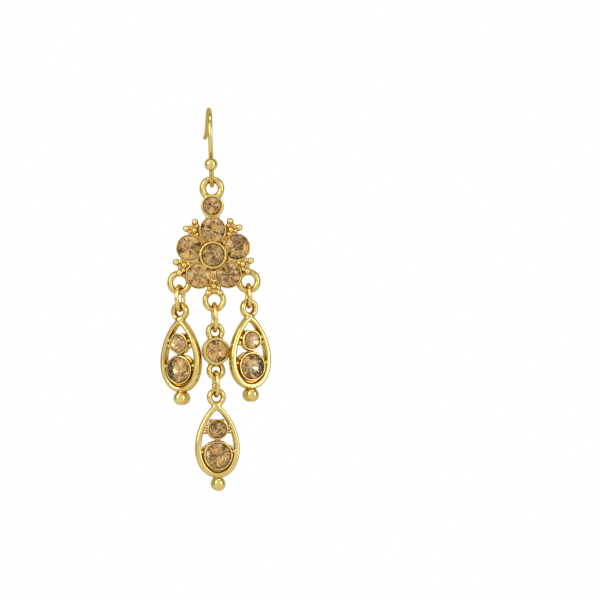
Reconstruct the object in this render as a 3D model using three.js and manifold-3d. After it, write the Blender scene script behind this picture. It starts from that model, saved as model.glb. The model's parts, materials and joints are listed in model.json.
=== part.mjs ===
// Chandelier drop earring. Millimetres, +Z up, the face towards -Y.
// The origin is the underside of the ear wire's arch, where the ear carries it.
import * as THREE from 'three';
import { mergeVertices } from 'three/addons/utils/BufferGeometryUtils.js';
import Module from 'manifold-3d';

const wasm = await Module();
wasm.setup();

const degrees = THREE.MathUtils.degToRad;

// ---------------------------------------------------------------- driving sizes

// Ear wire, drawn in its own plane: back is +Y and up is +Z from the centre of its lower bend.
const EAR_WIRE_RADIUS = 0.38;
const BEND_RADIUS = 1.38;
const FRONT_LIMB_LEAN = degrees(12.75);
const FRONT_LIMB_LENGTH = 4.75;
const SHANK_TOP = { back: -1.0, up: 6.88 };
const SHANK_PULL = [{ back: 1.62, up: 2.12 }, { back: -1.0, up: 4.2 }];
const FRONT_ARCH_RADIUS = 4.04;
const REAR_ARCH_RADIUS = 5.42;
const TAIL_ANGLE = degrees(52.7);
const TAIL_LENGTH = 10.3;
const TAIL_TIP = { back: 19.25, up: -4.39 };
const TAIL_SPLAY = degrees(4.7);
const HOOK_TILT = degrees(35);
const HOOK_BALL_RADIUS = 1.13;

// Flower cluster, measured down from the swing axis through the ear wire.
const CASTING_DEPTH = 1.56;
const TOP_RING = { drop: 0.52, outer: 2.16, hole: 1.0 };
const TOP_SETTING = { drop: 3.5, outer: 1.98, stone: 1.5, rim: -0.86, back: 1.1, dome: 2.4 };
const CLUSTER_DROP = 11.97;
const PETAL_CIRCLE = 4.28;
const PETAL = { outer: 2.31, stone: 2.1, back: 1.42, dome: 2.75 };
const PETAL_RIMS = [-1.3, -0.72, -0.9, -0.9, -0.72];
const CENTRE_CUP = { outer: 2.27, stem: 1.78, stone: 1.8, rim: -2.7, flare: -1.75, root: 0.4 };
const CENTRE_STONE_HEIGHT = 1.5;
const VALLEY_BEADS = [
  { circle: 5.31, swing: 0, radius: 0.47, front: -1.1 },
  { circle: 6.54, swing: degrees(8.2), radius: 0.53, front: -1.3 },
  { circle: 6.54, swing: degrees(-8.2), radius: 0.53, front: -1.3 },
];
const BEAD_BACK = 1.6;
const SIDE_RING = { side: 5.93, drop: 16.58, outer: 2.13, hole: 1.07 };
const CENTRE_RING = { drop: 19.78, outer: 2.04, hole: 1.05 };
const LOWER_RING_BACK = 0.65;
const NECK_POST = { side: 0.78, drop: 5.42, radius: 0.42, front: -0.75, back: 1.3 };
const HEART = { radius: 3.7, front: -0.3, back: 1.2 };
const WEB = { start: 2.6, startHalf: 0.45, end: 6.5, endHalf: 1.1, front: -0.35, back: 1.25 };

// Jump rings: oval split rings of round wire, seen edge-on.
const JUMP_WIRE_RADIUS = 0.37;
const JUMP_RING_WIDTH = 4.06;
const JUMP_RING_SPLIT = degrees(5);
const LINK_SLACK = 0.08;
const JUMP_RING_HEIGHT = { left: 4.82, right: 4.5, upper: 5.3, lower: 4.8 };

// Connector, measured down from its upper loop.
const LOOP = { outer: 1.66, hole: 0.72, depth: 1.4 };
const CONNECTOR_SETTING = { drop: 3.3, outer: 2.34, stone: 1.82, rim: -1.15, back: 0.75, dome: 1.75 };
const CONNECTOR_LOWER_LOOP_DROP = 6.63;
const CONNECTOR_TURN = degrees(12);

// Teardrop drop, measured down from its loop.
const DROP_PEAK = 1.15;
const DROP_HEIGHT = 12.76;
const DROP_HALF_WIDTH = 3.84;
const DROP_DEPTH = 1.65;
const RIM_WIDTH = 1.0;
const PEAK_WALL = 1.1;
const DROP_SMALL = { drop: 5.52, outer: 1.8, stone: 1.46, rim: -1.0, back: 0.3, dome: 1.05 };
const DROP_LARGE = { drop: 10.04, outer: 2.47, stone: 2.14, rim: -1.05, back: 0.55, dome: 1.68 };
const DROP_EDGE = 0.2;
const DROP_FLOOR = { drop: 10.64, radius: 3.2, front: 0.0, back: 0.6, wall: 0.4 };
const DROP_TIES = [
  { side: 0, drop: 7.42, radius: 0.42, front: -0.7, back: 0.5 },
  { side: -2.08, drop: 5.93, radius: 0.42, front: -0.75, back: 0.6 },
  { side: 2.08, drop: 5.93, radius: 0.42, front: -0.75, back: 0.6 },
];
const DROP_BALL = { drop: 14.9, radius: 1.2, half: 1.69 };
const DROP_TURN = { left: degrees(-29), right: degrees(28), bottom: degrees(9) };

const STONE_GAP = 0.06;
const POCKET_DEPTH = 1.2;
const CROWN_HEIGHT = 0.62;
const STONE_CUT = { table: 0.6, girdleFront: 0.02, girdleBack: 0.2, culet: 0.3, pavilion: 0.85 };

const ROUND_STEPS = 16;
const TUBE_STEPS = 8;
const OUTLINE_STEPS = 13;
const HOOK_STEPS = 68;

// ---------------------------------------------------------------- finishes

function goldPlate() {
  return new THREE.MeshStandardMaterial({ color: 0xd8bb6a, roughness: 0.24, metalness: 1.0 });
}

function champagneGlass() {
  return new THREE.MeshStandardMaterial({ color: 0xb58a55, roughness: 0.06, metalness: 0.0 });
}

// ---------------------------------------------------------------- shared shapes

// A closed geometry as a solid that can be joined and cut.
function solidOf(geometry) {
  const bare = geometry.clone();
  bare.deleteAttribute('normal');
  bare.deleteAttribute('uv');
  const merged = mergeVertices(bare, 1e-4);
  return new wasm.Manifold(new wasm.Mesh({
    numProp: 3,
    vertProperties: new Float32Array(merged.attributes.position.array),
    triVerts: new Uint32Array(merged.index.array),
  }));
}

function geometryOf(solid) {
  const mesh = solid.getMesh();
  const geometry = new THREE.BufferGeometry();
  geometry.setAttribute('position', new THREE.BufferAttribute(new Float32Array(mesh.vertProperties), 3));
  geometry.setIndex(new THREE.BufferAttribute(new Uint32Array(mesh.triVerts), 1));
  geometry.computeVertexNormals();
  return geometry;
}

function joined(geometries) {
  return geometries.map(solidOf).reduce((whole, next) => whole.add(next));
}

function opened(solid, pockets) {
  return pockets.map(solidOf).reduce((whole, pocket) => whole.subtract(pocket), solid);
}

function cast(name, solid) {
  return piece(name, geometryOf(solid), goldPlate());
}

function piece(name, geometry, material) {
  const mesh = new THREE.Mesh(geometry, material);
  mesh.name = name;
  return mesh;
}

// A shape turned about the depth axis (Y) from [radius, depth] pairs that run from back to front.
function turned(profile, steps = ROUND_STEPS) {
  const points = profile.map(([radius, depth]) => new THREE.Vector2(radius, depth));
  return new THREE.LatheGeometry(points, steps);
}

// A ring or loop with its hole along Y and an oval section.
function ring({ outer, hole }, depth) {
  const middle = (outer + hole) / 2;
  const halfWidth = (outer - hole) / 2;
  const profile = [];
  for (let step = 0; step <= TUBE_STEPS; step += 1) {
    const angle = (-2 * Math.PI * step) / TUBE_STEPS;
    profile.push([middle + halfWidth * Math.cos(angle), (depth / 2) * Math.sin(angle)]);
  }
  return turned(profile.reverse());
}

// A flat round disc with its face along Y.
function disc(radius, front, back) {
  return turned([[0, front], [radius, front], [radius, back], [0, back]]);
}

// A rod along Y with round ends, seen end-on as a granule or ball.
function roundedRod(radius, front, back, steps = 8) {
  const profile = [[0, front]];
  for (const angle of [45, 90].map(degrees)) {
    profile.push([radius * Math.sin(angle), front + radius * (1 - Math.cos(angle))]);
  }
  for (const angle of [90, 45].map(degrees)) {
    profile.push([radius * Math.sin(angle), back - radius * (1 - Math.cos(angle))]);
  }
  profile.push([0, back]);
  return turned(profile, steps);
}

// A setting before its pocket is cut: a round wall with a domed back.
function setting({ outer, rim, back, dome }) {
  const profile = [[0, rim], [outer - 0.12, rim], [outer, rim + 0.15]];
  for (const angle of [0, 35, 65].map(degrees)) {
    profile.push([outer * Math.cos(angle), back + (dome - back) * Math.sin(angle)]);
  }
  profile.push([0, dome]);
  return turned(profile);
}

// The pocket that a stone drops into from the front.
function pocket({ stone: radius, rim }) {
  const wall = radius + STONE_GAP;
  const mouth = rim - CROWN_HEIGHT - STONE_GAP;
  const floor = rim + POCKET_DEPTH;
  return turned([[0, mouth], [wall, mouth], [wall, floor], [0, floor]]);
}

// A round brilliant stone: pavilion, girdle, crown and table. Its girdle sits just under the rim.
function stone(radius, rim, crown = CROWN_HEIGHT) {
  const profile = [
    [0, rim - crown],
    [radius * STONE_CUT.table, rim - crown],
    [radius, rim + STONE_CUT.girdleFront],
    [radius, rim + STONE_CUT.girdleBack],
    [radius * STONE_CUT.culet, rim + STONE_CUT.pavilion],
    [0, rim + STONE_CUT.pavilion],
  ];
  return turned(profile);
}

// Teardrop outline, pointed at the top, with its widest place three fifths of the way down.
// x = a sin(t) sqrt(sin(t/2)) and z = b cos(t), with t from the peak to the foot.
const TEARDROP_FULLNESS = 0.8624;
function teardrop(halfWidth, height, peak) {
  const side = [];
  for (let step = 0; step <= OUTLINE_STEPS; step += 1) {
    const t = (Math.PI * step) / OUTLINE_STEPS;
    const x = (halfWidth / TEARDROP_FULLNESS) * Math.sin(t) * Math.sqrt(Math.sin(t / 2));
    side.push(new THREE.Vector2(x, peak - (height / 2) * (1 - Math.cos(t))));
  }
  const otherSide = side.slice(1, -1).reverse().map((point) => new THREE.Vector2(-point.x, point.y));
  return new THREE.Shape([...side, ...otherSide]);
}

// An outline in the X-Z plane, given thickness along Y from front to back.
function plate(shape, front, back, bevel = 0) {
  const geometry = new THREE.ExtrudeGeometry(shape, {
    depth: back - front - 2 * bevel,
    bevelEnabled: bevel > 0,
    bevelSize: bevel,
    bevelThickness: bevel,
    bevelOffset: -bevel,
    bevelSegments: 1,
  });
  geometry.rotateX(Math.PI / 2);
  geometry.translate(0, back - bevel, 0);
  return geometry;
}

// A round wire carried along a path, with flat ends.
function wire(path, radius, steps) {
  const section = new THREE.Shape().absarc(0, 0, radius, 0, 2 * Math.PI);
  return new THREE.ExtrudeGeometry(section, {
    steps,
    curveSegments: TUBE_STEPS / 2,
    extrudePath: path,
  });
}

// ---------------------------------------------------------------- ear hook

function hookPath() {
  const outline = new THREE.Path();
  const limbAngle = Math.PI + FRONT_LIMB_LEAN;
  const limbFootBack = BEND_RADIUS * Math.cos(limbAngle);
  const limbFootUp = BEND_RADIUS * Math.sin(limbAngle);
  outline.moveTo(
    limbFootBack - FRONT_LIMB_LENGTH * Math.sin(FRONT_LIMB_LEAN),
    limbFootUp + FRONT_LIMB_LENGTH * Math.cos(FRONT_LIMB_LEAN),
  );
  outline.lineTo(limbFootBack, limbFootUp);
  outline.absarc(0, 0, BEND_RADIUS, limbAngle, 2 * Math.PI);
  const [low, high] = SHANK_PULL;
  outline.bezierCurveTo(low.back, low.up, high.back, high.up, SHANK_TOP.back, SHANK_TOP.up);
  const crestBack = SHANK_TOP.back + FRONT_ARCH_RADIUS;
  outline.absarc(crestBack, SHANK_TOP.up, FRONT_ARCH_RADIUS, Math.PI, Math.PI / 2, true);
  const rearCentreUp = SHANK_TOP.up + FRONT_ARCH_RADIUS - REAR_ARCH_RADIUS;
  const rearEnd = Math.PI / 2 - TAIL_ANGLE;
  outline.absarc(crestBack, rearCentreUp, REAR_ARCH_RADIUS, Math.PI / 2, rearEnd, true);
  const tailBack = crestBack + REAR_ARCH_RADIUS * Math.cos(rearEnd) + TAIL_LENGTH * Math.cos(TAIL_ANGLE);
  const tailUp = rearCentreUp + REAR_ARCH_RADIUS * Math.sin(rearEnd) - TAIL_LENGTH * Math.sin(TAIL_ANGLE);
  outline.lineTo(tailBack, tailUp);
  outline.quadraticCurveTo(tailBack + 1.2, tailUp - 1.55, TAIL_TIP.back, TAIL_TIP.up);
  return outline;
}

// The tail leans a little to the side behind the crest of the arch.
function splay(back) {
  const crestBack = SHANK_TOP.back + FRONT_ARCH_RADIUS;
  return -Math.tan(TAIL_SPLAY) * Math.max(0, back - crestBack);
}

function earHook() {
  const outline = hookPath().getSpacedPoints(HOOK_STEPS + 4);
  const points = outline.map((point) => new THREE.Vector3(splay(point.x), point.x, point.y));
  const body = wire(new THREE.CatmullRomCurve3(points), EAR_WIRE_RADIUS, HOOK_STEPS);
  const ball = new THREE.SphereGeometry(HOOK_BALL_RADIUS, 14, 9);
  ball.translate(...points[0].toArray());
  const tip = new THREE.SphereGeometry(EAR_WIRE_RADIUS, 8, 6);
  tip.translate(...points.at(-1).toArray());
  return cast('ear_hook', joined([body, ball, tip]));
}

// The crest of the tilted arch lies on its rear arc, where that arc's radius points straight up.
const CREST_ANGLE = Math.PI / 2 - HOOK_TILT;
const CREST = new THREE.Vector2(
  SHANK_TOP.back + FRONT_ARCH_RADIUS + REAR_ARCH_RADIUS * Math.cos(CREST_ANGLE),
  SHANK_TOP.up + FRONT_ARCH_RADIUS - REAR_ARCH_RADIUS + REAR_ARCH_RADIUS * Math.sin(CREST_ANGLE),
).rotateAround(new THREE.Vector2(0, 0), HOOK_TILT);
const BEND_BACK = -CREST.x;
const BEND_UP = EAR_WIRE_RADIUS - CREST.y;
const SWING_AXIS_UP = BEND_UP - BEND_RADIUS;

// ---------------------------------------------------------------- flower cluster

function petalCentre(index) {
  const angle = degrees(90 + 72 * index);
  return {
    x: PETAL_CIRCLE * Math.cos(angle),
    z: -CLUSTER_DROP + PETAL_CIRCLE * Math.sin(angle),
  };
}

// Raised centre cup: a flared wall on a stem.
function centreCup() {
  const { outer, stem, rim, flare, root } = CENTRE_CUP;
  return turned([
    [0, rim], [outer - 0.1, rim], [outer, rim + 0.15],
    [outer - 0.05, flare], [stem, flare + 0.45], [stem, root], [0, root],
  ]);
}

// Web plate under one trio of granules, widening away from the centre.
function valleyWeb(angle) {
  const outline = new THREE.Shape();
  outline.moveTo(WEB.start, -WEB.startHalf);
  outline.lineTo(WEB.end, -WEB.endHalf);
  outline.lineTo(WEB.end, WEB.endHalf);
  outline.lineTo(WEB.start, WEB.startHalf);
  const web = plate(outline, WEB.front, WEB.back);
  web.rotateY(-angle);
  return web;
}

function clusterCasting() {
  const parts = [];
  const pockets = [];
  const topRing = ring(TOP_RING, CASTING_DEPTH);
  topRing.translate(0, 0, -TOP_RING.drop);
  parts.push(topRing);
  const topSetting = setting(TOP_SETTING);
  topSetting.translate(0, 0, -TOP_SETTING.drop);
  parts.push(topSetting);
  pockets.push(pocket(TOP_SETTING).translate(0, 0, -TOP_SETTING.drop));
  for (const side of [-1, 1]) {
    const neckPost = roundedRod(NECK_POST.radius, NECK_POST.front, NECK_POST.back);
    neckPost.translate(NECK_POST.side * side, 0, -NECK_POST.drop);
    parts.push(neckPost);
  }
  PETAL_RIMS.forEach((rim, index) => {
    const petal = setting({ ...PETAL, rim });
    const { x, z } = petalCentre(index);
    petal.translate(x, 0, z);
    parts.push(petal);
    pockets.push(pocket({ ...PETAL, rim }).translate(x, 0, z));
  });
  const heart = disc(HEART.radius, HEART.front, HEART.back);
  heart.translate(0, 0, -CLUSTER_DROP);
  parts.push(heart);
  const cup = centreCup();
  cup.translate(0, 0, -CLUSTER_DROP);
  parts.push(cup);
  pockets.push(pocket(CENTRE_CUP).translate(0, 0, -CLUSTER_DROP));
  for (let valley = 0; valley < 5; valley += 1) {
    const angle = degrees(54 + 72 * valley);
    const web = valleyWeb(angle);
    web.translate(0, 0, -CLUSTER_DROP);
    parts.push(web);
    for (const bead of VALLEY_BEADS) {
      const granule = roundedRod(bead.radius, bead.front, BEAD_BACK);
      const beadAngle = angle + bead.swing;
      const x = bead.circle * Math.cos(beadAngle);
      granule.translate(x, 0, -CLUSTER_DROP + bead.circle * Math.sin(beadAngle));
      parts.push(granule);
    }
  }
  for (const side of [-1, 1]) {
    const sideRing = ring(SIDE_RING, CASTING_DEPTH);
    sideRing.translate(side * SIDE_RING.side, LOWER_RING_BACK, -SIDE_RING.drop);
    parts.push(sideRing);
  }
  const centreRing = ring(CENTRE_RING, CASTING_DEPTH);
  centreRing.translate(0, LOWER_RING_BACK, -CENTRE_RING.drop);
  parts.push(centreRing);
  return cast('cluster_casting', opened(joined(parts), pockets));
}

function stonePiece(name, { stone: radius, rim, drop }, crown) {
  const gem = piece(name, stone(radius, rim, crown), champagneGlass());
  gem.position.z = -drop;
  return gem;
}

function cluster() {
  const group = new THREE.Group();
  group.add(clusterCasting());
  group.add(stonePiece('stone_top', TOP_SETTING));
  PETAL_RIMS.forEach((rim, index) => {
    const gem = piece(`stone_petal_${index + 1}`, stone(PETAL.stone, rim), champagneGlass());
    const { x, z } = petalCentre(index);
    gem.position.set(x, 0, z);
    group.add(gem);
  });
  group.add(stonePiece('stone_centre', { ...CENTRE_CUP, drop: CLUSTER_DROP }, CENTRE_STONE_HEIGHT));
  return group;
}

// ---------------------------------------------------------------- jump rings

function jumpRing(name, height, turn) {
  const halfHeight = height / 2 - JUMP_WIRE_RADIUS;
  const halfWidth = JUMP_RING_WIDTH / 2 - JUMP_WIRE_RADIUS;
  const points = [];
  const steps = 24;
  for (let step = 0; step <= steps; step += 1) {
    const angle = JUMP_RING_SPLIT / 2 + ((2 * Math.PI - JUMP_RING_SPLIT) * step) / steps;
    points.push(new THREE.Vector3(0, halfWidth * Math.cos(angle), halfHeight * Math.sin(angle)));
  }
  const link = piece(name, wire(new THREE.CatmullRomCurve3(points), JUMP_WIRE_RADIUS, steps), goldPlate());
  link.rotation.z = turn;
  return link;
}

// ---------------------------------------------------------------- connector

function connector() {
  const upperLoop = ring(LOOP, LOOP.depth);
  const cup = setting(CONNECTOR_SETTING);
  cup.translate(0, 0, -CONNECTOR_SETTING.drop);
  const lowerLoop = ring(LOOP, LOOP.depth);
  lowerLoop.translate(0, 0, -CONNECTOR_LOWER_LOOP_DROP);
  const group = new THREE.Group();
  const socket = pocket(CONNECTOR_SETTING).translate(0, 0, -CONNECTOR_SETTING.drop);
  group.add(cast('connector_casting', opened(joined([upperLoop, cup, lowerLoop]), [socket])));
  group.add(stonePiece('stone_connector', CONNECTOR_SETTING));
  return group;
}

// ---------------------------------------------------------------- teardrop drops

function dropCasting(name) {
  const outside = teardrop(DROP_HALF_WIDTH, DROP_HEIGHT, -DROP_PEAK);
  const innerHeight = DROP_HEIGHT - PEAK_WALL - RIM_WIDTH;
  const inside = teardrop(DROP_HALF_WIDTH - RIM_WIDTH, innerHeight, -DROP_PEAK - PEAK_WALL);
  const slab = solidOf(plate(outside, -DROP_DEPTH / 2, DROP_DEPTH / 2, DROP_EDGE));
  const frame = slab.subtract(solidOf(plate(inside, -DROP_DEPTH, DROP_DEPTH)));
  const smallCup = setting(DROP_SMALL);
  smallCup.translate(0, 0, -DROP_SMALL.drop);
  const largeCup = setting(DROP_LARGE);
  largeCup.translate(0, 0, -DROP_LARGE.drop);
  const ties = DROP_TIES.map((tie) => {
    const rod = roundedRod(tie.radius, tie.front, tie.back);
    return rod.translate(tie.side, 0, -tie.drop);
  });
  const ball = roundedRod(DROP_BALL.radius, -DROP_BALL.half, DROP_BALL.half, 12);
  ball.translate(0, 0, -DROP_BALL.drop);
  const body = joined([
    geometryOf(frame),
    ring(LOOP, LOOP.depth),
    smallCup,
    largeCup,
    ...ties,
    ball,
  ]);
  // The floor behind the large setting fills the frame's foot and stops short of the side openings.
  const round = disc(DROP_FLOOR.radius, -DROP_DEPTH, DROP_DEPTH);
  round.translate(0, 0, -DROP_FLOOR.drop);
  const { wall, front, back } = DROP_FLOOR;
  const infill = teardrop(DROP_HALF_WIDTH - wall, DROP_HEIGHT - 2 * wall, -DROP_PEAK - wall);
  const floor = solidOf(plate(infill, front, back)).intersect(solidOf(round));
  const pockets = [DROP_SMALL, DROP_LARGE].map((size) => pocket(size).translate(0, 0, -size.drop));
  return cast(name, opened(body.add(floor), pockets));
}

function teardropDrop(side) {
  const group = new THREE.Group();
  group.add(dropCasting(`drop_casting_${side}`));
  group.add(stonePiece(`stone_${side}_small`, DROP_SMALL));
  group.add(stonePiece(`stone_${side}_large`, DROP_LARGE));
  return group;
}

// ---------------------------------------------------------------- assembly

// Height of a jump ring's middle when its top wire rests in the hole of the ring above.
function hungBelow(holeCentre, hole, height) {
  return holeCentre - hole + LINK_SLACK + 2 * JUMP_WIRE_RADIUS - height / 2;
}

// Height of a loop whose hole hangs on the jump ring's bottom wire.
function loopBelow(linkMiddle, height) {
  return linkMiddle - height / 2 + 2 * JUMP_WIRE_RADIUS + LINK_SLACK - LOOP.hole;
}

const pendant = new THREE.Group();
pendant.position.set(0, BEND_BACK, SWING_AXIS_UP);
pendant.add(cluster());

function addLink(name, side, topHoleCentre, topHole, turn, x) {
  const height = JUMP_RING_HEIGHT[side];
  const link = jumpRing(name, height, turn);
  const middle = hungBelow(topHoleCentre, topHole, height);
  link.position.set(x, LOWER_RING_BACK, middle);
  pendant.add(link);
  return loopBelow(middle, height);
}

function addHanging(group, x, up, turn) {
  group.position.set(x, LOWER_RING_BACK, up);
  group.rotation.z = turn;
  pendant.add(group);
}

const sideLinks = [
  { side: 'left', sign: -1, turn: degrees(-17) },
  { side: 'right', sign: 1, turn: degrees(9) },
];
for (const { side, sign, turn } of sideLinks) {
  const x = sign * SIDE_RING.side;
  const loopUp = addLink(`jump_ring_${side}`, side, -SIDE_RING.drop, SIDE_RING.hole, turn, x);
  addHanging(teardropDrop(side), x, loopUp, DROP_TURN[side]);
}

const connectorUp = addLink('jump_ring_upper', 'upper', -CENTRE_RING.drop, CENTRE_RING.hole, degrees(9), 0);
addHanging(connector(), 0, connectorUp, CONNECTOR_TURN);
const lowerLoopUp = connectorUp - CONNECTOR_LOWER_LOOP_DROP;
const bottomUp = addLink('jump_ring_lower', 'lower', lowerLoopUp, LOOP.hole, degrees(13), 0);
addHanging(teardropDrop('bottom'), 0, bottomUp, DROP_TURN.bottom);

const hook = new THREE.Group();
hook.position.set(0, BEND_BACK, BEND_UP);
hook.rotation.x = HOOK_TILT;
hook.add(earHook());

const earring = new THREE.Group();
earring.add(hook, pendant);

export default earring;
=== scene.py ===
import json
import math

import bmesh
import bpy
import numpy as np
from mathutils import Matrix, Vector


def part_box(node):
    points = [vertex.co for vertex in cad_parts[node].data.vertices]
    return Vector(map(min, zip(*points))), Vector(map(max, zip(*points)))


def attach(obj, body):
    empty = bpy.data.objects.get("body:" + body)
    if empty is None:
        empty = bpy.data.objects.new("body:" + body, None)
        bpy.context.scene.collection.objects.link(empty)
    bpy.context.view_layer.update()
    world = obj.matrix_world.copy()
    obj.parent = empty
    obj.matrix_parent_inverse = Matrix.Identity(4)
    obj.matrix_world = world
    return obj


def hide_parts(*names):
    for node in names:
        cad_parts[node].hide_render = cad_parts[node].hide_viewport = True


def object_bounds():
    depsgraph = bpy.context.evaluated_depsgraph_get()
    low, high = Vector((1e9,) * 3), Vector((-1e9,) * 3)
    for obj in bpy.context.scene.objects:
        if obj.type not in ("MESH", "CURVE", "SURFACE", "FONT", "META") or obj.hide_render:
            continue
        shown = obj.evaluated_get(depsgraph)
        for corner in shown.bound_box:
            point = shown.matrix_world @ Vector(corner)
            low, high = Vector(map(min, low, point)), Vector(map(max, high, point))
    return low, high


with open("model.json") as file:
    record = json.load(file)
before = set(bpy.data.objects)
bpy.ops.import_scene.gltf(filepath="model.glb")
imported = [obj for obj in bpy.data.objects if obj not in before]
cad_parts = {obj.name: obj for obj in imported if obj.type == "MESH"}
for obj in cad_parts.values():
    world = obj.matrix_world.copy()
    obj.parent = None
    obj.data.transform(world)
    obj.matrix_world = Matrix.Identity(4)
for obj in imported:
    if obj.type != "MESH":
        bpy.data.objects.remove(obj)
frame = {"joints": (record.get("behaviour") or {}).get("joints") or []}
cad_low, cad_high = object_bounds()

# ------------------------------------------------------------------------------------------------
# Ear hook: drawn round brass wire, bent into a small lower bend, an S-shaped shank, a wide arch and a
# long tail, with a ball on the short front end. The pendant swings on the foot of the lower bend, and
# every cast piece is measured down from there, in millimetres.
MM = 0.001
swing = frame["joints"][0]
swing_y, swing_z = swing["pos_m"][1] / MM, swing["pos_m"][2] / MM

# Thin pale gold plate over brass, polished. The gloss varies in soft patches, and its colour is painted
# deeper and browner in its recesses as painted shade.
GOLD_PALE = (0.81, 0.655, 0.25, 1)
# Deep brown painted into recesses as shade.
GOLD_PAINTED_SHADE = (0.54, 0.27, 0.03, 1)
GOLD_EDGE = (0.80, 0.65, 0.28, 1)


def gold_plate(name, shade_reach, ripple, grain, rough=0.16):
    """Polished gold plate, its colour painted deep brown as shade in its recesses. The reach of that
    painted shade, how far apart (mm) two faces darken each other, comes first; ripple is the height of the
    slow unevenness and grain that of the fine one, both as bump strengths."""
    material = bpy.data.materials.new(name)
    material.use_nodes = True
    nodes, links = material.node_tree.nodes, material.node_tree.links
    shader = nodes["Principled BSDF"]
    shader.inputs["Metallic"].default_value = 1.0
    shader.inputs["Specular Tint"].default_value = GOLD_EDGE
    where = nodes.new("ShaderNodeTexCoord")
    # Painted shade: ambient occlusion turns the base colour from pale gold to deep brown in recesses.
    shade = nodes.new("ShaderNodeAmbientOcclusion")
    shade.samples = 6
    shade.inputs["Distance"].default_value = shade_reach * MM
    depth = nodes.new("ShaderNodeMapRange")
    depth.inputs["From Min"].default_value = 0.42
    depth.inputs["From Max"].default_value = 0.95
    links.new(shade.outputs["AO"], depth.inputs["Value"])
    patches = nodes.new("ShaderNodeTexNoise")
    patches.inputs["Scale"].default_value = 420.0
    patches.inputs["Detail"].default_value = 3.0
    links.new(where.outputs["Object"], patches.inputs["Vector"])
    recess_shade_mix = nodes.new("ShaderNodeMix")
    recess_shade_mix.data_type = "RGBA"
    recess_shade_mix.inputs["A"].default_value = GOLD_PAINTED_SHADE
    recess_shade_mix.inputs["B"].default_value = GOLD_PALE
    links.new(depth.outputs[0], recess_shade_mix.inputs["Factor"])
    tint = nodes.new("ShaderNodeMix")
    tint.data_type = "RGBA"
    tint.blend_type = "MULTIPLY"
    tint.inputs["Factor"].default_value = 0.35
    warm = nodes.new("ShaderNodeValToRGB")
    warm.color_ramp.elements[0].position = 0.3
    warm.color_ramp.elements[0].color = (0.86, 0.74, 0.52, 1)
    warm.color_ramp.elements[1].position = 0.65
    warm.color_ramp.elements[1].color = (1, 1, 1, 1)
    links.new(patches.outputs["Fac"], warm.inputs[0])
    links.new(recess_shade_mix.outputs["Result"], tint.inputs["A"])
    links.new(warm.outputs[0], tint.inputs["B"])
    links.new(tint.outputs["Result"], shader.inputs["Base Color"])
    gloss = nodes.new("ShaderNodeMapRange")
    gloss.inputs["From Min"].default_value = 0.3
    gloss.inputs["From Max"].default_value = 0.7
    gloss.inputs["To Min"].default_value = rough - 0.05
    gloss.inputs["To Max"].default_value = rough + 0.09
    links.new(patches.outputs["Fac"], gloss.inputs["Value"])
    links.new(gloss.outputs[0], shader.inputs["Roughness"])
    slow = nodes.new("ShaderNodeTexNoise")
    slow.inputs["Scale"].default_value = 900.0
    slow.inputs["Detail"].default_value = 2.0
    links.new(where.outputs["Object"], slow.inputs["Vector"])
    fine = nodes.new("ShaderNodeTexNoise")
    fine.inputs["Scale"].default_value = 6000.0
    fine.inputs["Detail"].default_value = 4.0
    links.new(where.outputs["Object"], fine.inputs["Vector"])
    bump_slow = nodes.new("ShaderNodeBump")
    bump_slow.inputs["Strength"].default_value = ripple
    bump_slow.inputs["Distance"].default_value = 0.10 * MM
    links.new(slow.outputs["Fac"], bump_slow.inputs["Height"])
    bump_fine = nodes.new("ShaderNodeBump")
    bump_fine.inputs["Strength"].default_value = grain
    bump_fine.inputs["Distance"].default_value = 0.02 * MM
    links.new(fine.outputs["Fac"], bump_fine.inputs["Height"])
    links.new(bump_slow.outputs[0], bump_fine.inputs["Normal"])
    links.new(bump_fine.outputs[0], shader.inputs["Normal"])
    return material


wire_gold = gold_plate("gold_plated_wire", 0.7, 0.10, 0.03)


def finished(name, points, faces, material, smooth=True, crease=None):
    """A mesh piece from points in millimetres and a list of faces, with its place in its mesh."""
    mesh = bpy.data.meshes.new(name)
    mesh.from_pydata((points * MM).tolist(), [], faces)
    mesh.polygons.foreach_set("use_smooth", np.full(len(mesh.polygons), smooth))
    if crease is not None:
        mesh.set_sharp_from_angle(angle=crease)
    mesh.materials.append(material)
    mesh.update()
    piece = bpy.data.objects.new(name, mesh)
    bpy.context.scene.collection.objects.link(piece)
    return piece


WIRE = 0.38
BEND = 1.38
LIMB_LEAN, LIMB_LENGTH = math.radians(12.75), 4.75
SHANK_TOP = np.array([-1.0, 6.88])
SHANK_PULL = np.array([[1.62, 2.12], [-1.0, 4.2]])
FRONT_ARCH, REAR_ARCH = 4.04, 5.42
TAIL_ANGLE, TAIL_LENGTH = math.radians(52.7), 10.3
TAIL_PULL = np.array([1.2, -1.55])
TAIL_TIP = np.array([19.25, -4.39])
TAIL_SPLAY = math.radians(4.7)
HOOK_TILT = math.radians(35)
HOOK_BALL, BALL_END = 1.11, 1.98
HOOK_STEP, HOOK_SIDES = 0.08, 28
OUTLINE_ROUNDS, PATH_ROUNDS = 6, 12


def arc(centre, radius, start, end, count=40):
    """Points on a circle round centre, from the start angle to the end angle."""
    t = np.linspace(start, end, count)
    return np.stack([centre[0] + radius * np.cos(t), centre[1] + radius * np.sin(t)], 1)


def bezier(ends, count=40):
    """Points on a Bezier curve: each control point weighted by its Bernstein polynomial."""
    t = np.linspace(0, 1, count)[:, None]
    degree = len(ends) - 1
    return sum(math.comb(degree, k) * (1 - t) ** (degree - k) * t ** k * p for k, p in enumerate(ends))


def evenly(path, step):
    """The same path with its points a constant step apart, and how far along it each one lies."""
    keep = np.r_[True, np.linalg.norm(np.diff(path, axis=0), axis=1) > 1e-6]
    path = path[keep]
    run = np.r_[0, np.cumsum(np.linalg.norm(np.diff(path, axis=0), axis=1))]
    at = np.linspace(0, run[-1], max(8, int(run[-1] / step)))
    return np.stack([np.interp(at, run, path[:, k]) for k in range(path.shape[1])], 1), at


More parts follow.
